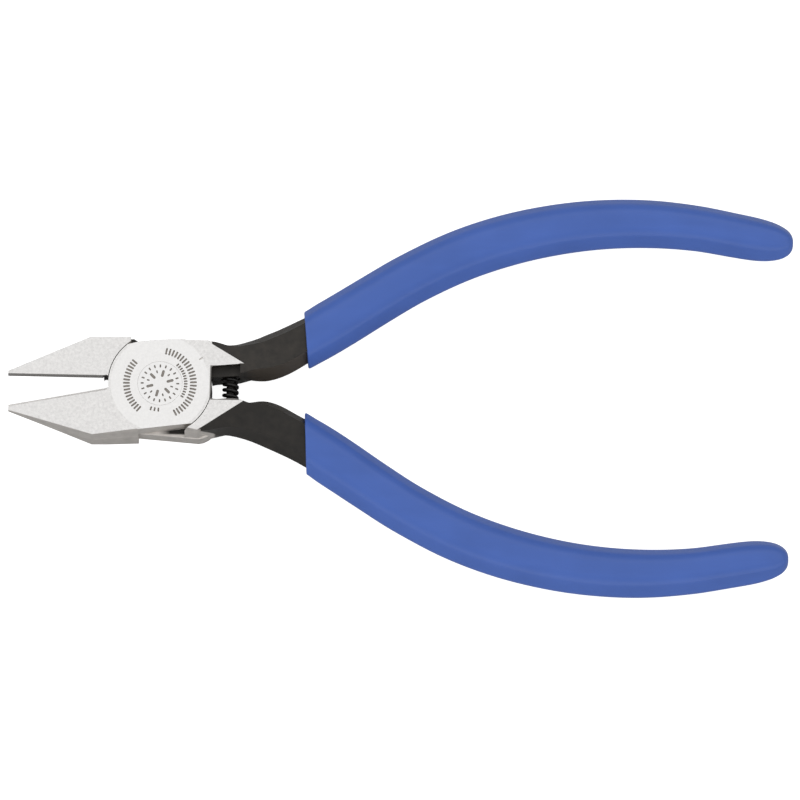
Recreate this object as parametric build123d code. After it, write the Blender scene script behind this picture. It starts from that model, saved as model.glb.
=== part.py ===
from build123d import *
from math import radians, sin, cos
import os

# Diagonal cutting pliers, lying on the back face, jaws towards -X, handles towards +X.
# The origin is the rivet's axis at the back face.  Millimetres, +Z out of the front face.

# ---- head ----
HEAD_THICKNESS = 8.0
MID_PLANE = HEAD_THICKNESS / 2
LAYER_GAP = 0.06            # between the two layers of the lap joint
BOSS_RADIUS = 8.72          # round of each joint layer
ARC_GAP = 0.12              # round of one half to the shoulder of the other
WINDOW_EDGE_X = 8.6         # straight handle-side edge of each joint layer

# ---- cutting edges ----
CUT_LINE_OFFSET = 0.85      # closed cutting line, above the rivet's axis
BACK_EDGE_ANGLE = 0.0       # degrees, cutting edge of the back half
OPEN_ANGLE = 11.1           # degrees between the two cutting edges as stored
EDGE_SETBACK = 0.45         # cutting edge behind the front face
FRONT_BEVEL_WIDTH = 0.38    # bevel between the cutting edge and the front face
BACK_BEVEL_RATIO = 0.95     # depth of the back bevel per mm of jaw width
BEVEL_STOP_RADIUS = 9.0     # the front bevel stops short of the joint
BACK_BEVEL_STOP_RADIUS = 9.55    # the back bevel stops just past the relief hole
RELIEF_RADIUS = 0.45        # relief hole at the root of the upper cutting edge

# ---- rivet ----
RIVET_RADIUS = 2.75
RIVET_HEAD_RADIUS = 3.75
RIVET_HEAD_DEPTH = 1.0
RUNNING_CLEARANCE = 0.04

# ---- stamped marks on the front face: plain strokes round the rivet ----
STAMP_DEPTH = 0.12
# Each row of strokes: radius of its middle, stroke length, stroke width, first angle, arc, count.
BOSS_STROKES = [
    (5.65, 1.15, 0.30, 80.0, -142.0, 25),
    (5.65, 1.15, 0.30, 140.0, 92.0, 17),
    (4.35, 0.60, 0.26, 48.0, -78.0, 14),
    (4.55, 0.70, 0.28, 252.0, 16.0, 3),
    (8.15, 0.75, 0.22, 33.0, 0.0, 1),
]
RIVET_STROKES = [
    (3.00, 0.55, 0.26, 0.0, 360.0, 20),
    (1.75, 1.20, 0.45, 15.0, 360.0, 6),
    (2.05, 0.50, 0.24, 45.0, 360.0, 6),
]

# ---- return spring ----
SPRING_X = 11.85
SPRING_OUTER_RADIUS = 1.42
WIRE_RADIUS = 0.30
SPRING_COILS = 8.5
SOCKET_RADIUS = 1.65
SOCKET_TOP_Y = 3.8
SOCKET_BOTTOM_Y = -4.3
PEG_RADIUS = 0.7            # pin inside the spring, on the back half
PEG_TOP_Y = 1.2

# ---- window relief beside the spring ----
RELIEF_RIGHT_X = 13.45
RELIEF_DEPTH = 1.8
RELIEF_CORNER = 0.5

# ---- handles ----
HANDLE_THICKNESS = 6.2
RAMP_LENGTH = 5.0           # from the ground head face down to the handle's face
RAMP_DROP = (HEAD_THICKNESS - HANDLE_THICKNESS) / 2

# ---- grips ----
GRIP_CORNER_SHARE = 0.24    # corner rounding as a share of the grip's width

# Stations of one handle: x, y of the centre, width, thickness, outer bevel, inner bevel.
# The first eight belong to the root and differ between the halves.
UPPER_ROOT = [
    (7.0, 4.70, 6.20, 8.6, 0.2, 0.0),
    (9.0, 4.70, 6.20, 8.6, 0.4, 0.0),
    (11.0, 4.76, 5.95, 8.6, 0.9, 0.0),
    (13.0, 4.88, 5.95, 8.4, 1.3, 0.1),
    (15.0, 5.06, 6.75, 8.0, 1.6, 0.9),
    (17.0, 5.28, 7.50, 7.4, 1.7, 1.5),
    (19.0, 5.96, 7.75, 6.8, 1.7, 1.5),
    (21.0, 6.92, 7.60, 6.4, 1.6, 1.4),
]
LOWER_ROOT = [
    (7.0, 5.25, 5.70, 8.6, 0.2, 0.0),
    (9.0, 5.18, 5.55, 8.6, 0.4, 0.0),
    (11.0, 5.12, 5.50, 8.6, 0.9, 0.0),
    (13.0, 5.20, 5.80, 8.4, 1.3, 0.1),
    (15.0, 5.38, 6.50, 8.0, 1.6, 0.9),
    (17.0, 5.52, 7.45, 7.4, 1.7, 1.5),
    (19.0, 6.16, 7.65, 6.8, 1.7, 1.5),
    (21.0, 7.12, 7.45, 6.4, 1.6, 1.4),
]
HANDLE = [
    (23.45, 8.32, 7.25, 6.2, 1.5, 1.3),
    (26.0, 9.75, 7.05, 6.2, 1.4, 1.2),
    (30.0, 12.20, 6.80, 6.2, 1.3, 1.2),
    (33.0, 14.15, 6.65, 6.2, 1.2, 1.2),
    (36.0, 16.10, 6.50, 6.2, 1.2, 1.2),
    (39.0, 18.00, 6.38, 6.2, 1.2, 1.2),
    (42.0, 19.80, 6.30, 6.2, 1.2, 1.2),
    (46.0, 21.99, 6.25, 6.2, 1.2, 1.2),
    (50.0, 23.90, 6.20, 6.2, 1.2, 1.2),
    (54.0, 25.51, 6.15, 6.2, 1.2, 1.2),
    (58.0, 26.85, 6.10, 6.2, 1.2, 1.2),
    (62.0, 27.94, 6.03, 6.2, 1.2, 1.2),
    (66.0, 28.80, 5.95, 6.2, 1.2, 1.2),
    (70.0, 29.45, 5.85, 6.15, 1.2, 1.2),
    (74.0, 29.90, 5.75, 6.1, 1.2, 1.2),
    (78.0, 30.16, 5.58, 6.05, 1.15, 1.15),
    (82.0, 30.20, 5.40, 6.0, 1.1, 1.1),
    (86.0, 30.00, 5.20, 5.9, 1.05, 1.05),
    (90.0, 29.60, 5.00, 5.8, 1.0, 1.0),
    (94.0, 29.02, 4.70, 5.65, 0.95, 0.95),
    (98.0, 28.30, 4.40, 5.5, 0.9, 0.9),
    (101.6, 27.55, 3.20, 4.6, 0.8, 0.8),
]

# Stations of one grip: x, y of the centre, width over sharp corners, height, bevel.
GRIP = [
    (22.0, 7.60, 9.65, 7.98, 2.1),
    (26.0, 9.75, 9.65, 7.98, 2.1),
    (30.0, 12.22, 9.57, 7.98, 2.1),
    (36.0, 16.15, 9.40, 7.98, 2.1),
    (42.0, 19.90, 9.36, 7.98, 2.1),
    (50.0, 23.98, 9.42, 7.98, 2.1),
    (58.0, 26.90, 9.40, 7.98, 2.1),
    (66.0, 28.85, 9.23, 7.98, 2.05),
    (74.0, 29.95, 9.00, 7.98, 2.0),
    (82.0, 30.21, 8.71, 7.98, 1.95),
    (90.0, 29.63, 8.28, 7.9, 1.9),
    (97.0, 28.46, 7.95, 7.7, 1.8),
    (101.4, 27.72, 7.35, 7.2, 1.65),
    (103.8, 27.42, 6.25, 6.2, 1.4),
    (105.5, 27.32, 4.35, 4.5, 1.0),
    (106.4, 27.30, 2.10, 2.3, 0.4),
]


def plate(outline, bottom, top):
    """Prism of a plan face between two heights."""
    return Pos(0, 0, bottom) * extrude(outline, amount=top - bottom, dir=(0, 0, 1))


def polygon(*points):
    return make_face(Polyline(*points, close=True))


def disc(radius, bottom, top, x=0.0, y=0.0):
    return Pos(x, y, (bottom + top) / 2) * Cylinder(radius, top - bottom)


def flipped(shape):
    """Turn a shape over about the X axis in the mid plane."""
    return Pos(0, 0, HEAD_THICKNESS) * Rot(180, 0, 0) * shape


def section(x, y, angle, points):
    """Face across a handle: points are (across, height), angle is the handle's direction."""
    spot = Plane(origin=(x, y, 0), x_dir=(-sin(angle), cos(angle), 0), z_dir=(cos(angle), sin(angle), 0))
    return spot * polygon(*points)


def directions(stations):
    """Direction of the centre line at each station, in radians."""
    line = Spline(*[(x, y, 0) for x, y, *rest in stations])
    found = []
    for x, y, *rest in stations:
        along = line.tangent_at(line.param_at_point((x, y, 0)))
        found.append(Vector(1, 0, 0).get_signed_angle(along, Vector(0, 0, 1)))
    return [radians(angle) for angle in found]


def handle_core(root):
    """Forged handle from inside the joint to its end under the grip, upper side."""
    stations = root + HANDLE
    faces = []
    for (x, y, width, thick, outer, inner), angle in zip(stations, directions(stations)):
        low = MID_PLANE - thick / 2
        high = MID_PLANE + thick / 2
        half = width / 2
        points = [
            (-half, MID_PLANE),
            (-half + inner, high),
            (half - outer, high),
            (half, MID_PLANE),
            (half - outer, low),
            (-half + inner, low),
        ]
        faces.append(section(x, y, angle, points))
    return loft(faces)


def head_slab():
    """Everything between the two ground faces."""
    return plate(Pos(30, 0) * Rectangle(200, 120), 0, HEAD_THICKNESS)


def ramp_cut(start, end):
    """Material removed where the forged handle drops below the ground front face."""
    run = Vector(end[0] - start[0], end[1] - start[1], 0).normalized()
    outward = Vector(-run.Y, run.X, 0)
    origin = Vector(start[0], start[1], HEAD_THICKNESS) - run * 10
    spot = Plane(origin=origin, x_dir=outward, z_dir=run)
    side = 1 if spot.y_dir.Z > 0 else -1
    reach = 22
    top = 3
    curve = TangentArc((RAMP_LENGTH, -RAMP_DROP * side), (0, 0), tangent=(-1, 0))
    rest = Polyline((0, 0), (0, top * side), (reach, top * side), (reach, -RAMP_DROP * side),
                    (RAMP_LENGTH, -RAMP_DROP * side))
    return extrude(spot * make_face([curve, rest]), amount=34, dir=run)


def handle_side(root, ramp_start, ramp_end, wall):
    """Handle with its root, the ramps on both faces and the window relief."""
    core = handle_core(root) & head_slab()
    ramp = ramp_cut(ramp_start, ramp_end)
    core = core - ramp
    core = core - Pos(0, 0, HEAD_THICKNESS) * mirror(ramp, about=Plane.XY)
    pocket = polygon((WINDOW_EDGE_X, -1), (RELIEF_RIGHT_X, -1), (RELIEF_RIGHT_X, wall[1]),
                     (WINDOW_EDGE_X, wall[0]))
    corner = pocket.vertices().sort_by(Axis.Y)[-2]
    pocket = fillet(corner, RELIEF_CORNER)
    return core - plate(pocket, HEAD_THICKNESS - RELIEF_DEPTH, HEAD_THICKNESS + 1)


def socket(low, high):
    hole = Cylinder(SOCKET_RADIUS, high - low)
    return Pos(SPRING_X, (low + high) / 2, MID_PLANE) * Rot(90, 0, 0) * hole


def spring_peg():
    """Pin that keeps the spring in line, rooted in the floor of the back half's socket."""
    root = SOCKET_BOTTOM_Y - 0.1
    pin = Cylinder(PEG_RADIUS, PEG_TOP_Y - root)
    return Pos(SPRING_X, (root + PEG_TOP_Y) / 2, MID_PLANE) * Rot(90, 0, 0) * pin


def edge_frame(angle):
    """Local frame on the closed cutting line turned by an angle about the rivet, x along the edge."""
    return Rot(0, 0, angle) * Pos(0, CUT_LINE_OFFSET, 0)


def bevels(angle, side):
    """Solids that sharpen a jaw lying on the given side (+1 above, -1 below) of its cutting line."""
    edge_height = HEAD_THICKNESS - EDGE_SETBACK
    reach = 9.5
    deep = edge_height - reach * BACK_BEVEL_RATIO
    back = [(0, edge_height), (reach * side, deep), (-2 * side, deep), (-2 * side, edge_height)]
    front = [(0, edge_height), (FRONT_BEVEL_WIDTH * side, HEAD_THICKNESS),
             (2 * FRONT_BEVEL_WIDTH * side, HEAD_THICKNESS + EDGE_SETBACK),
             (-2 * side, HEAD_THICKNESS + EDGE_SETBACK), (-2 * side, edge_height)]
    spot = Plane(origin=(0, 0, 0), x_dir=(0, 1, 0), z_dir=(1, 0, 0))
    cuts = []
    for points in (back, front):
        profile = spot * polygon(*points)
        cuts.append(edge_frame(angle) * Pos(-32, 0, 0) * extrude(profile, amount=32, dir=(1, 0, 0)))
    return cuts[0], cuts[1]


def edge_point(angle, distance):
    """Point on a cutting line at a distance from the rivet towards the jaw's tip."""
    turn = radians(angle)
    x = -distance * cos(turn) - CUT_LINE_OFFSET * sin(turn)
    y = -distance * sin(turn) + CUT_LINE_OFFSET * cos(turn)
    return (x, y)


def rivet_shape(gap):
    """Rivet with flush countersunk heads, grown by a running gap for its bore."""
    shank = RIVET_RADIUS + gap
    head = RIVET_HEAD_RADIUS + gap
    top = HEAD_THICKNESS
    profile = Polyline((0, 0), (head, 0), (shank, RIVET_HEAD_DEPTH), (shank, top - RIVET_HEAD_DEPTH),
                       (head, top), (0, top), close=True)
    return revolve(Plane.XZ * make_face(profile), axis=Axis.Z)


def stamp(rows):
    """Pockets of radial strokes, sunk into the front face."""
    strokes = []
    for radius, length, width, first, arc, count in rows:
        spots = PolarLocations(radius, count, first, arc, endpoint=abs(arc) < 360)
        strokes += spots * SlotOverall(length, width)
    return plate(Sketch() + strokes, HEAD_THICKNESS - STAMP_DEPTH, HEAD_THICKNESS + 1)


def front_layer():
    """Joint layer of the front half."""
    low = MID_PLANE + LAYER_GAP / 2
    top_edge = ThreePointArc((-3.7, 7.16), (2.2, 7.7), (7.9, 7.6))
    rest = Polyline((7.9, 7.6), (7.9, 0.0), (9.0, 0.0), (9.0, -6.4), (4.4, -6.9), (-10.0, -8.82),
                    (-10.0, 5.6), (-3.7, 7.16))
    strip = make_face([top_edge, rest])
    corner = polygon((3.0, 3.0), (3.0, 7.6), (7.9, 7.6), (WINDOW_EDGE_X, 7.4), (WINDOW_EDGE_X, 3.0))
    tab = polygon((5.0, -0.7), (WINDOW_EDGE_X, -0.7), (WINDOW_EDGE_X, 3.4), (5.0, 3.4))
    layer = (Circle(BOSS_RADIUS) & strip) + corner + tab
    return plate(layer, low, HEAD_THICKNESS)


def back_layer():
    """Joint layer of the back half."""
    high = MID_PLANE - LAYER_GAP / 2
    strip = polygon((-10.0, 7.45), (3.6, 7.8), (9.0, 7.8), (9.0, -8.7), (6.6, -8.6), (-3.5, -7.85),
                    (-10.0, -7.4))
    corner = polygon((2.0, -8.26), (6.6, -8.6), (7.4, -8.45), (8.2, -8.05), (WINDOW_EDGE_X, -7.75),
                     (WINDOW_EDGE_X, -3.0), (2.0, -3.0))
    tab = polygon((5.0, 0.7), (WINDOW_EDGE_X, 0.7), (WINDOW_EDGE_X, -3.4), (5.0, -3.4))
    ledge = polygon((-5.6, 5.0), (-5.6, 8.4), (-4.6, 8.45), (-3.2, 7.55), (-3.2, 5.0))
    layer = (Circle(BOSS_RADIUS) & strip) + corner + tab + ledge
    return plate(layer, 0, high)


def back_shoulder():
    """Block of the back half beside the round of the front half, flaring towards the joint plane."""
    behind = [(4.3, -5.0), (4.3, -8.4), (6.6, -8.55), (9.5, -7.3), (9.5, -5.0)]
    ahead = [(4.3, -5.0), (4.3, -7.36), (6.4, -7.85), (9.5, -5.80), (9.5, -5.0)]
    low = Pos(0, 0, MID_PLANE - LAYER_GAP) * polygon(*behind)
    return loft([low, Pos(0, 0, HEAD_THICKNESS) * polygon(*ahead)], ruled=True)


def lower_jaw():
    """Jaw of the front half, thicker behind than the joint layer it joins."""
    angle = BACK_EDGE_ANGLE + OPEN_ANGLE
    root = edge_point(angle, 7.6)
    tip = edge_point(angle, 25.75)
    behind = [root, tip, (-25.46, -5.1), (-11.45, -9.1), (-3.47, -8.72), (-3.47, -5.0)]
    ahead = [root, tip, (-25.46, -5.1), (-11.2, -9.0), (-3.47, -7.84), (-3.47, -5.0)]
    block = loft([polygon(*behind), Pos(0, 0, HEAD_THICKNESS) * polygon(*ahead)], ruled=True)
    back, front = bevels(angle, -1)
    block = block - (back - disc(BACK_BEVEL_STOP_RADIUS, MID_PLANE, HEAD_THICKNESS + 1))
    return block - (front - disc(BEVEL_STOP_RADIUS, MID_PLANE, HEAD_THICKNESS + 1))


def upper_jaw():
    """Jaw of the back half."""
    root = edge_point(BACK_EDGE_ANGLE, 7.6)
    tip = edge_point(BACK_EDGE_ANGLE, 25.6)
    outline = [root, tip, (-25.62, 1.66), (-11.96, 7.76), (-5.06, 7.92), (-5.2, 6.0)]
    block = plate(polygon(*outline), 0, HEAD_THICKNESS)
    back, front = bevels(BACK_EDGE_ANGLE, 1)
    block = block - (back - disc(BACK_BEVEL_STOP_RADIUS, MID_PLANE, HEAD_THICKNESS + 1))
    block = block - (front - disc(BEVEL_STOP_RADIUS, MID_PLANE, HEAD_THICKNESS + 1))
    hole_x, hole_y = edge_point(BACK_EDGE_ANGLE, 9.1)
    return block - disc(RELIEF_RADIUS, MID_PLANE, HEAD_THICKNESS + 1, hole_x, hole_y)


def front_half():
    wall = (3.2, 3.68)
    handle = handle_side(UPPER_ROOT, (7.75, 7.5), (14.0, 3.81), wall)
    space = disc(BOSS_RADIUS + ARC_GAP, -1, MID_PLANE + LAYER_GAP / 2)
    half = front_layer() + (lower_jaw() - space) + (handle - space)
    half = half - socket(-1, SOCKET_TOP_Y)
    half = half - rivet_shape(RUNNING_CLEARANCE)
    return half - stamp(BOSS_STROKES)


def pivot_rivet():
    return rivet_shape(0) - stamp(RIVET_STROKES)


def back_half():
    wall = (3.95, 4.0)
    handle = flipped(handle_side(LOWER_ROOT, (6.45, 7.85), (14.56, 2.39), wall))
    space = disc(BOSS_RADIUS + ARC_GAP, MID_PLANE - LAYER_GAP / 2, HEAD_THICKNESS + 1)
    half = back_layer() + (upper_jaw() - space) + ((handle + back_shoulder()) - space)
    half = half - socket(SOCKET_BOTTOM_Y, 1)
    half = half + spring_peg()
    return half - rivet_shape(0)


def return_spring():
    """Coil spring standing in the two sockets."""
    coil_radius = SPRING_OUTER_RADIUS - WIRE_RADIUS
    length = SOCKET_TOP_Y - SOCKET_BOTTOM_Y - 2 * WIRE_RADIUS - 0.1
    path = Helix(pitch=length / SPRING_COILS, height=length, radius=coil_radius)
    start = Plane(origin=path @ 0, z_dir=path % 0)
    wire = sweep(start * Circle(WIRE_RADIUS), path=path)
    foot = SOCKET_BOTTOM_Y + WIRE_RADIUS + 0.05
    return Pos(SPRING_X, foot, MID_PLANE) * Rot(-90, 0, 0) * wire


def grip_shape():
    """Outside of a dipped sleeve on the upper handle."""
    faces = []
    for (x, y, width, height, bevel), angle in zip(GRIP, directions(GRIP)):
        half = width / 2
        low = MID_PLANE - height / 2
        high = MID_PLANE + height / 2
        points = [
            (-half, MID_PLANE),
            (-half + bevel, high),
            (half - bevel, high),
            (half, MID_PLANE),
            (half - bevel, low),
            (-half + bevel, low),
        ]
        face = section(x, y, angle, points)
        faces.append(fillet(face.vertices(), GRIP_CORNER_SHARE * width))
    return loft(faces)


def mouth_cut(x, y, tilt):
    """Everything on the head side of a grip's mouth."""
    return Pos(x, y, MID_PLANE) * Rot(0, 0, tilt) * Pos(-10, 0, 0) * Box(20, 30, 20)


def upper_grip():
    core = handle_core(UPPER_ROOT) & head_slab()
    return grip_shape() - mouth_cut(24.4, 8.9, 5.5) - core


def lower_grip():
    core = handle_core(LOWER_ROOT) & head_slab()
    return flipped(grip_shape() - mouth_cut(24.7, 9.2, -2.8) - core)


PARTS = {
    "front_half": front_half,
    "back_half": back_half,
    "pivot_rivet": pivot_rivet,
    "return_spring": return_spring,
    "upper_grip": upper_grip,
    "lower_grip": lower_grip,
}

os.makedirs("parts", exist_ok=True)
for name, build in PARTS.items():
    shape = build()
    solids = shape.solids()
    print(name, "solids", len(solids), "volume", round(shape.volume, 2), "box", shape.bounding_box())
    export_step(solids[0] if len(solids) == 1 else Compound(children=solids), f"parts/{name}.step")
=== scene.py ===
import bpy
import bmesh
import math
from functools import lru_cache
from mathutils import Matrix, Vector, noise


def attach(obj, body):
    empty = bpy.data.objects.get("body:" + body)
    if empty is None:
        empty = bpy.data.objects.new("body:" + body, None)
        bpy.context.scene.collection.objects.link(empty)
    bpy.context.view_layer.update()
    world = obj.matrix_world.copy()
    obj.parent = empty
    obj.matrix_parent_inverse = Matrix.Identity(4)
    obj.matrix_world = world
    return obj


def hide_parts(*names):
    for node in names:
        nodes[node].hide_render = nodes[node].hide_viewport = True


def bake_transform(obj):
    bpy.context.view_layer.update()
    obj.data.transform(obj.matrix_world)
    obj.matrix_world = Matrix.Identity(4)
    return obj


MM = 0.001

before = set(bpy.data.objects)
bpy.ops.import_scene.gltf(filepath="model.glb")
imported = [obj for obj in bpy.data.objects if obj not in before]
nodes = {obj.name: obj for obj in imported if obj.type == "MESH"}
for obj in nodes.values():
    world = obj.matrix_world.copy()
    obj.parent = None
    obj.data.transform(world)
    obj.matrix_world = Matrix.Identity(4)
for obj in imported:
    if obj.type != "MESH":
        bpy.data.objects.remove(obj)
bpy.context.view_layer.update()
scene = bpy.context.scene

# ---- camera: almost straight down on the tool's front face ----
LENS = 600.0                          # mm, on a 36 mm sensor: long, so that the view is nearly parallel
SENSOR = 36.0
FRAME_WIDTH = 134.7 * MM              # width of the picture at the front face
TILT = math.radians(12.6)             # away from straight down, towards the lower handle
TURN = math.radians(1.2)              # round the vertical
AIM = Vector((40.48, -2.03, 8.0)) * MM

# ---- light: long soft strips along the tool, and pale paper ----
WORLD_LEVEL = 0.86
STRIPS = [                            # degrees from straight up, towards +Y, and the light from there
    (-95, 2.10), (-70, 2.10), (-56, 1.00), (-36, 0.85), (-18, 1.18), (22, 1.22), (32, 1.80), (46, 1.80),
    (57, 0.90), (70, 0.45), (95, 0.30),
]
CURVE_TOP = 3.0                       # a curve node holds values up to 1, so levels are divided by this
FLOOR_GREY = 0.42
FLOOR_GLOW = 0.06                     # the paper is lit from behind as well
BACKDROP_GLOW = 0.86                  # more of that light, seen only by the camera
FLOOR_RADIUS = 4.0                    # metres
FLOOR_DROP = 0.02 * MM                # keeps the paper clear of the tool's back face

# ---- the two halves: where each finish, painted shade and painted highlight ends and the next begins, in mm ----
MID = 4.0                             # height of the tool's middle
FRONT, BACK = 1, -1                   # the half whose handle is towards +Y, and the other one
RAMP_LINE = {                         # the edge between the ground face and the black ramp to the handle
    FRONT: (Vector((7.75, 7.5)), Vector((14.0, 3.81))),
    BACK: (Vector((6.45, -7.85)), Vector((14.56, -2.39))),
}
FACE_REACH = 3.93                     # the ground faces lie further than this from the middle height
PARTING_REACH = 0.22                  # half the width of the forging's parting ridge
BOSS_RADIUS = 8.3                     # the smoother round area about the rivet
STAMP_RADIUS = 7.6                    # the stamped strokes lie inside this
STAMP_LOW, STAMP_HIGH = 7.8, 7.985    # heights between which a stroke's pocket lies
JAW_START = -8.4
CUTTING_REACH = 3.2                   # how far from the long axis the slopes of the cutting edges reach
EDGE_START = -8.9                     # the edges' own narrow bevels run from here to the tip
EDGE_LOW = 7.5                        # height down to which those bevels are seen
RELIEF = (-9.10, 0.85)                # centre of the relief hole at the root of the edges
RELIEF_SIZE = 0.34                    # square of the radius of the painted shade in it
LEDGE_DARK = 1.8                      # painted shade on the ledge by the joint deepens from x = 0 to here
LEDGE_END = 4.7                       # and that painted shade ends here
LEDGE_LOW = -7.85                     # its lip, below this, stays grey
SIDE_OUT = 7.3                        # the outer side lies further than this from the long axis
SIDE_END = 9.3                        # and its grey part ends here
SIDE_DROP = 1.08                      # on it, the black begins lower by this much for each mm of length
WINDOW_WALL = 8.55                    # past this, all but the ground face is black
WINDOW_START, WINDOW_END = 8.3, 13.4  # the spring's window, along the tool
RIM_START, RIM_OUT = 8.40, 3.3        # painted shade along the window's rim on the front half
BACK_RIM_OUT = 2.62                   # and on the back half
ROOT_START, ROOT_OUT = 13.3, 3.75     # corner of the front half's face that is black as well
WORN_START = 14.0                     # the inner edges of the handles are rubbed from here on

# painted light: the same oxide is made lighter on the front half and darker on the back half
OXIDE_LIGHT_AND_SHADE = {FRONT: 1.35, BACK: 0.80}
# painted shade on the back half's narrow edge bevel, a pale painted highlight on the front half's
EDGE_SHADE_AND_HIGHLIGHT = {FRONT: 0.70, BACK: 0.13}

# ---- the dipped grips ----
GRIP = [                              # x, y of the centre, width, height, bevel, in mm
    (20.0, 6.45, 9.15, 7.98, 2.10),
    (22.0, 7.60, 9.15, 7.98, 2.10),
    (26.0, 9.75, 9.15, 7.98, 2.10),
    (30.0, 12.22, 9.07, 7.98, 2.10),
    (36.0, 16.15, 8.92, 7.98, 2.10),
    (42.0, 19.90, 8.88, 7.98, 2.10),
    (50.0, 23.98, 8.93, 7.98, 2.10),
    (58.0, 26.90, 8.90, 7.98, 2.10),
    (66.0, 28.85, 8.74, 7.98, 2.05),
    (74.0, 29.95, 8.53, 7.98, 2.00),
    (82.0, 30.21, 8.26, 7.98, 1.95),
    (90.0, 29.63, 7.85, 7.90, 1.90),
    (97.0, 28.46, 7.60, 7.70, 1.80),
    (101.4, 27.72, 7.40, 7.50, 1.75),
    (103.8, 27.42, 7.30, 7.45, 1.70),
    (105.5, 27.32, 7.25, 7.40, 1.70),
    (106.4, 27.30, 7.20, 7.40, 1.70),
]
GRIP_CORNER = 0.26                    # radius of the section's corners, as a share of its width
GRIP_CROWN = 0.06                     # fall of the section's flats from their middle, as a share of height
NOSE_START = 98.0                     # mm, where the closed end starts to round off
NOSE_END = 106.38
NOSE_POWER = 2.6
GRIP_STEPS = 92                       # rings from the mouth to the closed end
UNEVEN = 0.004                        # share by which the dip's thickness wanders
CORE_WIDTH = 7.22                     # handle inside the mouth, mm
CORE_HEIGHT = 6.16
CORE_BEVEL = 1.4
CORE_CORNER = 0.05
RIM = 0.32                            # rounding of the mouth's outer edge, mm
LIP = 0.16                            # and of its inner edge
RIM_EASE = 0.15                       # plain stretch behind the rounded rim, mm
SLEEVE_INSIDE = 2.0                   # how far the sleeve's mesh reaches back inside its mouth, mm
MOUTH_STATIONS = [20.5 + 0.25 * k for k in range(36)]   # between which the mouth's plane cuts the grip
LIP_BACK = 0.25                       # the plain bore begins this far inside the mouth, mm
TIP_GAP = 0.02                        # the last ring stops this far before the end, mm
SLOPE_REACH = 0.5                     # distance each way over which the grip's direction is taken, mm
CORNER_STEPS = 6                      # steps round a corner of the section
CORNER_LIMIT = 0.46                   # most of a side that a corner's rounding takes up
FLAT_STEPS = 5                        # steps along its top and bottom flats

# ---- the spring, in mm ----
SPRING_X = 11.85
SPRING_LOW, SPRING_HIGH = -3.95, 3.45
COIL_RADIUS = 1.12
WIRE_RADIUS = 0.30
CLOSED_PITCH = 0.62                   # the first and last turns nearly touch
TURNS = 8.5
STEPS_PER_TURN = 32
WIRE_SIDES = 12


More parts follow.
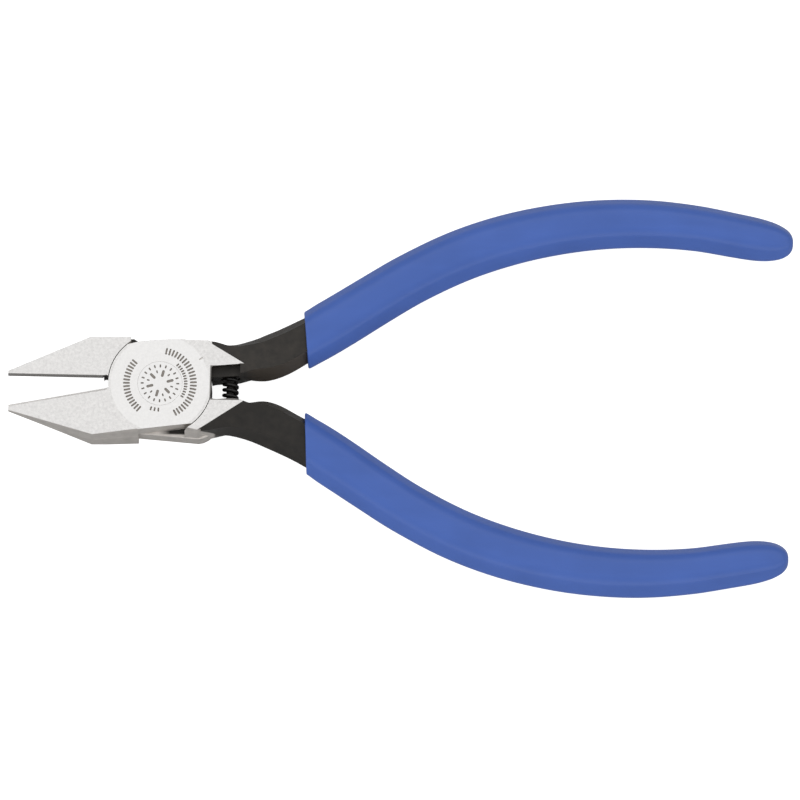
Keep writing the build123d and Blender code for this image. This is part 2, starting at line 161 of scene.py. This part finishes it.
# ---------------------------------------------------------------- node graphs
class Graph:
    """Short calls for building a material's nodes."""

    def __init__(self, name):
        self.material = bpy.data.materials.new(name)
        self.material.use_nodes = True
        self.tree = self.material.node_tree
        self.tree.nodes.clear()

    def node(self, kind, **settings):
        made = self.tree.nodes.new("ShaderNode" + kind)
        for key, value in settings.items():
            setattr(made, key, value)
        return made

    def put(self, socket, value):
        if isinstance(value, bpy.types.NodeSocket):
            self.tree.links.new(value, socket)
        elif value is not None:
            socket.default_value = value

    def math(self, operation, a, b=None):
        made = self.node("Math", operation=operation)
        for socket, value in zip(made.inputs, (a, b)):
            self.put(socket, value)
        return made.outputs[0]

    def total(self, *values):
        result = values[0]
        for value in values[1:]:
            result = self.math("ADD", result, value)
        return result

    def both(self, *masks):
        result = masks[0]
        for mask in masks[1:]:
            result = self.math("MULTIPLY", result, mask)
        return result

    def either(self, *masks):
        result = masks[0]
        for mask in masks[1:]:
            result = self.math("MAXIMUM", result, mask)
        return result

    def invert(self, mask):
        return self.math("SUBTRACT", 1.0, mask)

    def above(self, value, edge, softness=0.1):
        """Mask that rises from 0 to 1 as value passes edge."""
        made = self.node("MapRange", interpolation_type="SMOOTHSTEP")
        self.put(made.inputs["Value"], value)
        made.inputs["From Min"].default_value = edge - softness
        made.inputs["From Max"].default_value = edge + softness
        return made.outputs[0]

    def below(self, value, edge, softness=0.1):
        return self.invert(self.above(value, edge, softness))

    def span(self, value, low, high, to_low, to_high):
        """Linear change of range, clamped."""
        made = self.node("MapRange")
        self.put(made.inputs["Value"], value)
        for socket, number in zip(("From Min", "From Max", "To Min", "To Max"), (low, high, to_low, to_high)):
            made.inputs[socket].default_value = number
        return made.outputs[0]

    def squares(self, a, b):
        """Sum of the two values' squares."""
        return self.math("ADD", self.math("MULTIPLY", a, a), self.math("MULTIPLY", b, b))

    def colour(self, factor, a, b, blend="MIX"):
        made = self.node("Mix", data_type="RGBA", blend_type=blend)
        self.put(made.inputs[0], factor)
        self.put(made.inputs[6], a)
        self.put(made.inputs[7], b)
        return made.outputs[2]

    def scaled(self, colour, level):
        """The colour made lighter or darker by the level."""
        return self.colour(1.0, colour, level, "MULTIPLY")

    def mix(self, factor, a, b):
        made = self.node("Mix", data_type="FLOAT")
        self.put(made.inputs[0], factor)
        self.put(made.inputs[2], a)
        self.put(made.inputs[3], b)
        return made.outputs[0]

    def place(self):
        """Position on the part in millimetres: the vector and its x, y and z."""
        made = self.node("VectorMath", operation="SCALE")
        self.put(made.inputs[0], self.node("TexCoord").outputs["Object"])
        made.inputs["Scale"].default_value = 1.0 / MM
        parts = self.node("SeparateXYZ")
        self.put(parts.inputs[0], made.outputs[0])
        return made.outputs[0], *parts.outputs

    def normal(self):
        parts = self.node("SeparateXYZ")
        self.put(parts.inputs[0], self.node("TexCoord").outputs["Normal"])
        return parts.outputs

    def stretched(self, vector, scale):
        made = self.node("VectorMath", operation="MULTIPLY")
        self.put(made.inputs[0], vector)
        made.inputs[1].default_value = scale
        return made.outputs[0]

    def noise(self, vector, scale, detail=3.0, roughness=0.55, distortion=0.0):
        made = self.node("TexNoise")
        self.put(made.inputs["Vector"], vector)
        made.inputs["Scale"].default_value = scale
        made.inputs["Detail"].default_value = detail
        made.inputs["Roughness"].default_value = roughness
        made.inputs["Distortion"].default_value = distortion
        return made.outputs["Fac"]

    def swing(self, *pairs):
        """Sum of each texture's swing about its middle value, times its strength."""
        return self.total(*(self.math("MULTIPLY", self.math("SUBTRACT", texture, 0.5), strength)
                            for texture, strength in pairs))

    def bump(self, height, strength, distance, normal=None):
        made = self.node("Bump")
        made.inputs["Strength"].default_value = strength
        made.inputs["Distance"].default_value = distance
        self.put(made.inputs["Height"], height)
        self.put(made.inputs["Normal"], normal)
        return made.outputs[0]

    def rounded(self, radius):
        made = self.node("Bevel", samples=6)
        made.inputs["Radius"].default_value = radius
        return made.outputs[0]

    def shader(self, colour, roughness, metallic, normal, **others):
        """Closes the graph. Other sockets are named with underscores for their spaces."""
        made = self.node("BsdfPrincipled")
        self.put(made.inputs["Base Color"], colour)
        self.put(made.inputs["Roughness"], roughness)
        self.put(made.inputs["Metallic"], metallic)
        self.put(made.inputs["Normal"], normal)
        for key, value in others.items():
            self.put(made.inputs[key.replace("_", " ")], value)
        out = self.node("OutputMaterial")
        self.put(out.inputs["Surface"], made.outputs[0])
        return self.material


def grey(value, warmth=0.0):
    """Neutral colour, a touch warmer or cooler."""
    return (value * (1 + warmth), value, value * (1 - warmth), 1.0)


# ---------------------------------------------------------------- steel
def grain_and_mottle(g, vector):
    return g.noise(vector, 9.0, 3.0, 0.65), g.noise(vector, 2.1, 4.0, 0.6, 0.4)


def past_ramp_line(g, x, y, side):
    """Distance of a point past the ramp's line, on the handle's side of it."""
    start, end = RAMP_LINE[side]
    run = end - start
    across = Vector((-run.y, run.x)).normalized() * side
    return g.total(g.math("MULTIPLY", x, across.x), g.math("MULTIPLY", y, across.y), -across.dot(start))


def grey_side(g, x, z, up, outward, facing, side):
    """The outer side of the head, which stays grey below the slanting start of the black finish."""
    past_start = g.math("SUBTRACT", x, RAMP_LINE[side][0].x)
    slant = g.math("ADD", z, g.math("MULTIPLY", past_start, SIDE_DROP))
    outer = g.either(g.both(g.below(up, 0.75), g.above(facing, 0.3)), g.above(outward, SIDE_OUT))
    return g.both(outer, g.below(slant, 2 * MID, 0.3), g.below(x, SIDE_END, 0.3))


def painted_hollow_shade(g, x, y, z, nz, off_middle):
    """Painted shade: the shadowed ledges at the middle height and the relief hole at the root of the cutting
    edges are painted black.
    """
    ledge = g.both(g.above(nz, 0.9, 0.05), g.below(off_middle, 0.2, 0.05))
    corner = g.both(g.span(x, 0.0, LEDGE_DARK, 0.0, 1.0), g.below(x, LEDGE_END), g.above(y, LEDGE_LOW, 0.15))
    hole = g.squares(g.math("SUBTRACT", x, RELIEF[0]), g.math("SUBTRACT", y, RELIEF[1]))
    relief = g.both(g.below(hole, RELIEF_SIZE, 0.03), g.below(z, 7.95, 0.02), g.above(z, 3.0))
    return g.either(g.both(ledge, g.either(corner, g.above(y, 0.0))), relief)


def window_rim_shade(g, x, flat, outward, side):
    """Painted shade: a narrow dark rim along the spring's window in the ground face."""
    if side == FRONT:
        rim = g.both(g.above(x, RIM_START, 0.04), g.below(outward, RIM_OUT))
    else:
        rim = g.below(outward, BACK_RIM_OUT, 0.05)
    return g.both(flat, g.above(x, WINDOW_START, 0.05), g.below(x, WINDOW_END, 0.2), rim)


def steel_zones(g, x, y, z, side):
    """Masks of one half's finishes and of its painted shade and highlight. Outward is from the long axis
    towards this half's own handle.
    """
    _, ny, nz = g.normal()
    up = g.math("ABSOLUTE", nz)
    off_middle = g.math("ABSOLUTE", g.math("SUBTRACT", z, MID))
    outward = g.math("MULTIPLY", y, side)
    facing = g.math("MULTIPLY", ny, side)
    radius = g.math("SQRT", g.squares(x, y))

    flat = g.both(g.above(up, 0.985, 0.006), g.above(off_middle, FACE_REACH, 0.02))
    face = flat
    if side == FRONT:
        root = g.both(g.above(x, ROOT_START), g.below(outward, ROOT_OUT, 0.06))
        face = g.both(flat, g.invert(root))
    sloped = g.invert(face)

    past_line = g.above(past_ramp_line(g, x, y, side), 0.0, 0.05)
    handle = g.both(g.either(past_line, g.above(x, WINDOW_WALL, 0.04)),
                    g.invert(grey_side(g, x, z, up, outward, facing, side)))
    return {
        "face": face,
        # black oxide on the handles, together with painted shade in the hollows
        "black": g.either(g.both(handle, sloped), painted_hollow_shade(g, x, y, z, nz, off_middle)),
        "cutting": g.both(g.below(x, JAW_START, 0.3), sloped, g.above(up, 0.2, 0.05),
                          g.below(g.math("ABSOLUTE", y), CUTTING_REACH)),
        "sharp": g.both(g.below(x, EDGE_START), g.above(z, EDGE_LOW, 0.03), g.above(up, 0.3), g.invert(flat)),
        "stamp": g.both(g.below(radius, STAMP_RADIUS, 0.05), g.above(z, STAMP_LOW, 0.02),
                        g.below(z, STAMP_HIGH, 0.008)),
        "boss": g.below(radius, BOSS_RADIUS, 0.12),
        "window": window_rim_shade(g, x, flat, outward, side),
        "ridge": g.below(off_middle, PARTING_REACH),
        "worn": g.both(g.above(x, WORN_START, 0.6), g.below(facing, -0.3), g.above(nz, 0.2)),
    }


def black_oxide(g, grain, marks, worn, side):
    """Uneven brown-black finish, paler where hands rub it, and lighter on the front half than on the back
    half as painted light.
    """
    tone = OXIDE_LIGHT_AND_SHADE[side]
    patchy = g.colour(g.span(marks, 0.35, 0.7, 0.0, 1.0), grey(0.0115 * tone, 0.14), grey(0.021 * tone, 0.16))
    patchy = g.scaled(patchy, g.span(grain, 0.3, 0.7, 0.85, 1.15))
    return g.colour(worn, patchy, grey(0.030 * tone, 0.20))


def steel(name, side):
    """One half of the tool: ground faces, grey forged sides, black handle and window, dark stamps, painted
    shade in the hollows and along the window's rim, and painted shade (back half) and highlight (front half)
    on the edges' bevels.
    """
    g = Graph(name)
    vector, x, y, z = g.place()
    zone = steel_zones(g, x, y, z, side)
    face, black, stamp = zone["face"], zone["black"], zone["stamp"]
    grain, mottle = grain_and_mottle(g, vector)
    lines = g.noise(g.stretched(vector, (14.0, 0.9, 14.0)), 1.0, 3.0, 0.6)
    marks = g.noise(vector, 0.55, 3.0, 0.6)

    speckle = g.math("MULTIPLY", g.swing((grain, 0.42), (mottle, 0.50)), g.mix(zone["boss"], 1.0, 0.35))
    bright = g.colour(zone["boss"], grey(0.70, 0.016), grey(0.775, 0.012))
    bright = g.scaled(bright, g.math("ADD", speckle, 1.0))
    forged = g.scaled(grey(0.58, 0.05), g.total(g.span(marks, 0.3, 0.7, 0.90, 1.10),
                                                g.math("MULTIPLY", zone["ridge"], 0.10),
                                                g.swing((lines, 0.18))))
    ground = g.scaled(grey(0.62, 0.01), g.span(lines, 0.25, 0.75, 0.86, 1.08))
    edge = g.scaled(grey(EDGE_SHADE_AND_HIGHLIGHT[side], 0.03), g.span(lines, 0.25, 0.75, 0.7, 1.3))

    colour = g.colour(face, forged, bright)
    colour = g.colour(zone["cutting"], colour, ground)
    # painted shade on the back half's edge bevel, painted highlight on the front half's
    colour = g.colour(zone["sharp"], colour, edge)
    # painted shade along the window's rim
    colour = g.colour(zone["window"], colour, grey(0.16, 0.05))
    # black oxide colour, also used as painted shade in the hollows
    colour = g.colour(black, colour, black_oxide(g, grain, marks, zone["worn"], side))
    colour = g.colour(stamp, colour, grey(0.23, 0.10))

    painted = g.either(black, stamp)
    # the front half's pale edge bevel is a painted highlight, so it is not metallic
    if side == FRONT:
        painted = g.either(painted, zone["sharp"])
    metallic = g.mix(painted, 1.0, 0.15)

    rough = g.mix(face, 0.48, g.span(grain, 0.3, 0.7, 0.30, 0.40))
    rough = g.mix(zone["cutting"], rough, 0.26)
    rough = g.mix(black, rough, g.span(marks, 0.3, 0.7, 0.40, 0.52))
    rough = g.mix(stamp, rough, 0.7)

    height = g.mix(black, g.mix(face, lines, grain), g.total(grain, g.math("MULTIPLY", mottle, 1.5)))
    normal = g.bump(height, 0.25, 0.012 * MM, g.rounded(0.12 * MM))
    return g.shader(colour, rough, metallic, normal, Specular_IOR_Level=0.30)


def rivet_steel():
    """Ground head of the rivet, flush with the joint, with its stamped mark."""
    g = Graph("ground_rivet_steel")
    vector, _, _, z = g.place()
    grain, mottle = grain_and_mottle(g, vector)
    stamp = g.both(g.above(z, STAMP_LOW, 0.02), g.below(z, STAMP_HIGH, 0.008))
    colour = g.scaled(grey(0.78, 0.010), g.math("ADD", g.swing((grain, 0.13), (mottle, 0.12)), 1.0))
    colour = g.colour(stamp, colour, grey(0.22, 0.10))
    rough = g.mix(stamp, g.span(grain, 0.3, 0.7, 0.29, 0.38), 0.7)
    return g.shader(colour, rough, g.mix(stamp, 1.0, 0.15), g.bump(grain, 0.2, 0.01 * MM))


# ---------------------------------------------------------------- other materials
def plastisol(name):
    """Satin dipped vinyl: soft orange peel, faint flow bands along the grip, and an uneven gloss."""
    g = Graph(name)
    vector = g.place()[0]
    peel = g.noise(vector, 2.6, 2.0, 0.5)
    fine = g.noise(vector, 11.0, 2.0, 0.5)
    flow = g.noise(g.stretched(vector, (0.05, 0.35, 0.35)), 1.0, 2.0, 0.5)
    cloud = g.noise(vector, 0.12, 2.0, 0.5)
    tone = g.math("ADD", g.swing((flow, 0.16), (cloud, 0.20), (fine, 0.06)), 1.0)
    colour = g.scaled((0.053, 0.113, 0.382, 1.0), tone)
    uneven = g.math("ADD", g.math("MULTIPLY", peel, 0.6), g.math("MULTIPLY", cloud, 0.4))
    rough = g.span(uneven, 0.3, 0.7, 0.30, 0.38)
    normal = g.bump(g.math("ADD", peel, g.math("MULTIPLY", fine, 0.35)), 0.22, 0.03 * MM)
    return g.shader(colour, rough, 0.0, normal, IOR=1.46, Specular_IOR_Level=0.30)


def spring_wire():
    """Black hard-drawn wire with faint drawing lines and paler rubbed spots."""
    g = Graph("black_spring_wire")
    vector = g.place()[0]
    draw = g.noise(g.stretched(vector, (3.0, 26.0, 3.0)), 1.0, 2.0, 0.5)
    rub = g.above(g.noise(vector, 1.6, 3.0, 0.6), 0.62, 0.05)
    colour = g.colour(rub, grey(0.010, 0.05), grey(0.022, 0.08))
    rough = g.mix(rub, g.span(draw, 0.3, 0.7, 0.28, 0.40), 0.30)
    return g.shader(colour, rough, 0.3, g.bump(draw, 0.3, 0.01 * MM))


def floor_paper():
    """Pale seamless studio paper. The camera sees it glow more than the tool does."""
    g = Graph("pale_paper")
    fibre = g.noise(g.node("TexCoord").outputs["Object"], 900.0, 3.0, 0.6)
    colour = g.scaled(grey(FLOOR_GREY), g.span(fibre, 0.3, 0.7, 0.985, 1.0))
    seen = g.node("LightPath").outputs["Is Camera Ray"]
    glow = g.colour(seen, grey(FLOOR_GLOW), grey(FLOOR_GLOW + BACKDROP_GLOW))
    return g.shader(colour, 0.85, 0.0, g.bump(fibre, 0.03, 0.05 * MM), Specular_IOR_Level=0.1,
                    Emission_Color=glow, Emission_Strength=1.0)


# ---------------------------------------------------------------- camera, light and floor
def add_object(name, data):
    made = bpy.data.objects.new(name, data)
    scene.collection.objects.link(made)
    return made


def aim(thing, place, target):
    thing.location = place
    thing.rotation_mode = "QUATERNION"
    thing.rotation_quaternion = (target - place).to_track_quat("-Z", "Y")


def make_camera():
    data = bpy.data.cameras.new("camera")
    data.lens = LENS
    data.sensor_width = SENSOR
    data.clip_start = 0.01
    data.clip_end = 20.0
    camera = add_object("camera", data)
    back = Vector((math.sin(TURN) * math.sin(TILT), -math.cos(TURN) * math.sin(TILT), math.cos(TILT)))
    aim(camera, AIM + back * (FRAME_WIDTH * LENS / SENSOR), AIM)
    scene.camera = camera


def make_world():
    """The strips of light, which the camera doesn't see, and the plain white that it sees instead."""
    world = bpy.data.worlds.new("studio")
    world.use_nodes = True
    scene.world = world
    tree = world.node_tree
    tree.nodes.clear()

    def add(kind, *inputs, **settings):
        made = tree.nodes.new("ShaderNode" + kind)
        for key, value in settings.items():
            setattr(made, key, value)
        for socket, value in zip(made.inputs, inputs):
            if isinstance(value, bpy.types.NodeSocket):
                tree.links.new(value, socket)
            else:
                socket.default_value = value
        return made

    direction = add("SeparateXYZ", add("TexCoord").outputs["Generated"])
    angle = add("Math", direction.outputs["Y"], direction.outputs["Z"], operation="ARCTAN2")
    share = add("MapRange", angle.outputs[0], -math.pi / 2, math.pi / 2, 0.0, 1.0)
    curve = add("FloatCurve", 1.0, share.outputs[0])
    points = curve.mapping.curves[0].points
    for degrees, level in STRIPS[1:-1]:
        points.new((degrees + 90) / 180, level / CURVE_TOP)
    points[0].location = (0.0, STRIPS[0][1] / CURVE_TOP)
    points[-1].location = (1.0, STRIPS[-1][1] / CURVE_TOP)
    curve.mapping.update()
    lit = add("Math", curve.outputs[0], CURVE_TOP * WORLD_LEVEL, operation="MULTIPLY")
    light = add("Background", (1.0, 1.0, 1.0, 1.0), lit.outputs[0])
    backdrop = add("Background", (1.0, 1.0, 1.0, 1.0), 1.0)
    both = add("MixShader", add("LightPath").outputs["Is Camera Ray"], light.outputs[0], backdrop.outputs[0])
    add("OutputWorld", both.outputs[0])


def make_softbox(name, place, target, size, power):
    data = bpy.data.lights.new(name, "AREA")
    data.shape = "RECTANGLE"
    data.size = size
    data.size_y = size
    data.energy = power
    aim(add_object(name, data), Vector(place), Vector(target))


def make_floor():
    mesh = bpy.data.meshes.new("floor")
    build = bmesh.new()
    bmesh.ops.create_circle(build, cap_ends=True, segments=96, radius=FLOOR_RADIUS)
    build.to_mesh(mesh)
    build.free()
    floor = add_object("floor", mesh)
    floor.location.z = -FLOOR_DROP
    mesh.materials.append(floor_paper())


# ---------------------------------------------------------------- meshes
def skin(build, rings):
    """Faces between each ring of vertices and the next."""
    count = len(rings[0])
    for low, high in zip(rings, rings[1:]):
        for k in range(count):
            after = (k + 1) % count
            build.faces.new((low[k], low[after], high[after], high[k]))


def finished_mesh(build, name):
    """Mesh with its faces turned outwards, smooth except where a face has more than four corners."""
    bmesh.ops.recalc_face_normals(build, faces=build.faces)
    mesh = bpy.data.meshes.new(name)
    build.to_mesh(mesh)
    build.free()
    mesh.polygons.foreach_set("use_smooth", [len(p.vertices) <= 4 for p in mesh.polygons])
    return mesh


# ---------------------------------------------------------------- grips
def between(stations, x):
    """Values at x along a table of stations, by a smooth curve through its rows."""
    last = len(stations) - 1
    i = max(k for k in range(last) if k == 0 or stations[k][0] <= x)
    rows = [stations[min(max(k, 0), last)] for k in range(i - 1, i + 3)]
    xa, xb, xc, xd = (row[0] for row in rows)
    gap = xc - xb
    t = (x - xb) / gap
    found = []
    for a, b, c, d in zip(*(row[1:] for row in rows)):
        slope_b = (c - a) / (xc - xa) if xa != xb else (c - b) / gap
        slope_c = (d - b) / (xd - xb) if xc != xd else (c - b) / gap
        found.append((2 * t**3 - 3 * t**2 + 1) * b + (t**3 - 2 * t**2 + t) * slope_b * gap
                     + (-2 * t**3 + 3 * t**2) * c + (t**3 - t**2) * slope_c * gap)
    return found


def hexagon(width, height, bevel, corner, crown):
    """Closed section of a handle: six rounded corners and slightly crowned flats, as (across, up) points."""
    half, top = width / 2, height / 2
    points = [(half, 0.0), (half - bevel, top), (bevel - half, top), (-half, 0.0), (bevel - half, -top),
              (half - bevel, -top)]
    outline = []
    for i, spot in enumerate(points):
        here, before, after = Vector(spot), Vector(points[i - 1]), Vector(points[(i + 1) % 6])
        into, away = (before - here).normalized(), (after - here).normalized()
        shortest = min((before - here).length, (after - here).length)
        reach = min(corner / math.tan(into.angle(away) / 2), CORNER_LIMIT * shortest)
        for k in range(CORNER_STEPS + 1):
            t = k / CORNER_STEPS
            ends = (1 - t)**2 * (here + into * reach) + t**2 * (here + away * reach)
            outline.append(ends + 2 * t * (1 - t) * here)
        if i in (1, 4):
            start, end = outline[-1], after + (here - after).normalized() * reach
            outline += [start.lerp(end, k / FLAT_STEPS) for k in range(1, FLAT_STEPS)]
    flat = half - bevel
    widen = half / max(s for s, h in outline)
    return [Vector((s * widen, h * (1 - crown * min(1.0, abs(s) / flat)**2))) for s, h in outline]


def nose(x):
    """Size of the section near the closed end, as a share of its full size."""
    share = min(max((x - NOSE_START) / (NOSE_END - NOSE_START), 0.0), 1.0)
    return (1 - share**NOSE_POWER)**(1 / NOSE_POWER)


@lru_cache(maxsize=None)
def grip_ring(x, core=False):
    """Ring of points round the upper grip at a station, or round the handle inside it."""
    y, width, height, bevel = between(GRIP, x)
    after, before = min(x + SLOPE_REACH, NOSE_END), x - SLOPE_REACH
    angle = math.atan2(between(GRIP, after)[0] - between(GRIP, before)[0], after - before)
    if core:
        outline = hexagon(CORE_WIDTH, CORE_HEIGHT, CORE_BEVEL, CORE_CORNER, 0.0)
    else:
        outline = hexagon(width, height, bevel, GRIP_CORNER * width, GRIP_CROWN)
    shrink = 1.0 if core else nose(x)
    return [Vector((x - s * shrink * math.sin(angle), y + s * shrink * math.cos(angle), MID + h * shrink))
            for s, h in outline]


def cut_by_mouth(place, normal, core):
    """For every line along the grip, the x station where it meets the mouth's plane, and the point there."""
    rings = [grip_ring(x, core) for x in MOUTH_STATIONS]
    steps = list(zip(MOUTH_STATIONS, MOUTH_STATIONS[1:], rings, rings[1:]))
    found = []
    for j in range(len(rings[0])):
        for x, next_x, ring, next_ring in steps:
            a = (ring[j] - place).dot(normal)
            b = (next_ring[j] - place).dot(normal)
            if a < 0 <= b:
                t = a / (a - b)
                found.append((x + (next_x - x) * t, ring[j].lerp(next_ring[j], t)))
                break
    return found


def rounded_edge(edge, towards, normal, radius, turns):
    """Rings round a quarter circle, from the edge's points into the mouth's plane towards the others."""
    rings = []
    for turn in turns:
        aside, behind = 1 - math.cos(turn * math.pi / 2), 1 - math.sin(turn * math.pi / 2)
        rings.append([here + (there - here).normalized() * radius * aside + normal * radius * behind
                      for here, there in zip(edge, towards)])
    return rings


def sleeve_rings(place, tilt):
    """Rings from inside the mouth, over its rounded rim and along the outside to the closed end."""
    normal = Vector((math.cos(math.radians(tilt)), math.sin(math.radians(tilt)), 0.0))
    outer = cut_by_mouth(place, normal, False)
    outside = [point for _, point in outer]
    inside = [point for _, point in cut_by_mouth(place, normal, True)]
    rings = [[p + normal * SLEEVE_INSIDE for p in inside], [p + normal * LIP_BACK for p in inside]]
    rings += rounded_edge(inside, outside, normal, LIP, (0.0, 0.5, 1.0))
    rings += rounded_edge(outside, inside, normal, RIM, (1.0, 0.67, 0.33, 0.0))
    starts = [x + RIM + RIM_EASE for x, _ in outer]
    for k in range(1, GRIP_STEPS + 1):
        ease = math.sin(k / GRIP_STEPS * math.pi / 2)
        stations = [round(start + (NOSE_END - TIP_GAP - start) * ease, 6) for start in starts]
        rings.append([grip_ring(x)[j] for j, x in enumerate(stations)])
    return rings


def settled(p, side):
    """The point moved a little towards or away from the grip's centre line, never past the tool's height."""
    wave = noise.noise(Vector((p.x * 0.11, p.y * 0.3, p.z * 0.3 + 7.0 * side)))
    middle = between(GRIP, min(max(p.x, GRIP[0][0]), NOSE_END))[0]
    pull = 1.0 + UNEVEN * wave
    return Vector((p.x, middle + (p.y - middle) * pull, MID + (p.z - MID) * min(pull, 1.0)))


def turned(p, side):
    """The point on the upper handle, or for BACK its copy half a turn about the long axis away."""
    return Vector((p.x, p.y * side, MID + (p.z - MID) * side))


def make_grip(name, node, body, mouth, tilt, side):
    """Dipped sleeve with a rounded mouth and a closed end, on the half whose handle is on that side."""
    build = bmesh.new()
    grid = []
    for ring in sleeve_rings(Vector((*mouth, MID)), tilt):
        grid.append([build.verts.new(turned(settled(p, side), side) * MM) for p in ring])
    skin(build, grid)
    count = len(grid[0])
    tip = build.verts.new(sum((v.co for v in grid[-1]), Vector()) / count + Vector((0.01 * MM, 0, 0)))
    for j in range(count):
        build.faces.new((grid[-1][j], grid[-1][(j + 1) % count], tip))
    back = build.verts.new(sum((v.co for v in grid[0]), Vector()) / count)
    for j in range(count):
        build.faces.new((grid[0][(j + 1) % count], grid[0][j], back))
    mesh = finished_mesh(build, name)
    grip = add_object(name, mesh)
    grip.modifiers.new("smooth", "SUBSURF").render_levels = 1
    mesh.materials.append(plastisol(name + "_vinyl"))
    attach(grip, body)
    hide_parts(node)


# ---------------------------------------------------------------- spring
def spring_line(turn):
    """Point on the wire's centre line after that many turns: close wound for one turn at both ends."""
    free = (SPRING_HIGH - SPRING_LOW - 2 * CLOSED_PITCH) / (TURNS - 2)
    if turn < 1:
        y = SPRING_LOW + CLOSED_PITCH * turn
    elif turn > TURNS - 1:
        y = SPRING_HIGH - CLOSED_PITCH * (TURNS - turn)
    else:
        y = SPRING_LOW + CLOSED_PITCH + free * (turn - 1)
    angle = 2 * math.pi * turn
    return Vector((SPRING_X + COIL_RADIUS * math.cos(angle), y, MID + COIL_RADIUS * math.sin(angle)))


def make_spring():
    build = bmesh.new()
    rings = []
    steps = int(TURNS * STEPS_PER_TURN)
    for i in range(steps + 1):
        turn = TURNS * i / steps
        here = spring_line(turn)
        ahead = (spring_line(min(turn + 0.01, TURNS)) - spring_line(max(turn - 0.01, 0))).normalized()
        out = Vector((math.cos(2 * math.pi * turn), 0, math.sin(2 * math.pi * turn)))
        along = ahead.cross(out).normalized()
        rings.append([build.verts.new((here + (out * math.cos(a) + along * math.sin(a)) * WIRE_RADIUS) * MM)
                      for a in (2 * math.pi * k / WIRE_SIDES for k in range(WIRE_SIDES))])
    skin(build, rings)
    build.faces.new(rings[0])
    build.faces.new(list(reversed(rings[-1])))
    mesh = finished_mesh(build, "coil_spring")
    spring = add_object("coil_spring", mesh)
    mesh.materials.append(spring_wire())
    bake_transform(spring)
    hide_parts("return_spring")


# ---------------------------------------------------------------- the scene
scene.view_settings.view_transform = "Standard"
make_camera()
make_world()
make_floor()
make_softbox("key_softbox", (-0.95, 0.55, 0.95), (0.04, 0.0, 0.0), 0.5, 1.8)

nodes["front_half"].data.materials[0] = steel("front_half_steel", FRONT)
nodes["back_half"].data.materials[0] = steel("back_half_steel", BACK)
nodes["pivot_rivet"].data.materials[0] = rivet_steel()

make_grip("upper_sleeve", "upper_grip", "front_body", (24.4, 8.9), 5.5, FRONT)
make_grip("lower_sleeve", "lower_grip", "back_body", (24.7, 9.2), -2.8, BACK)
make_spring()
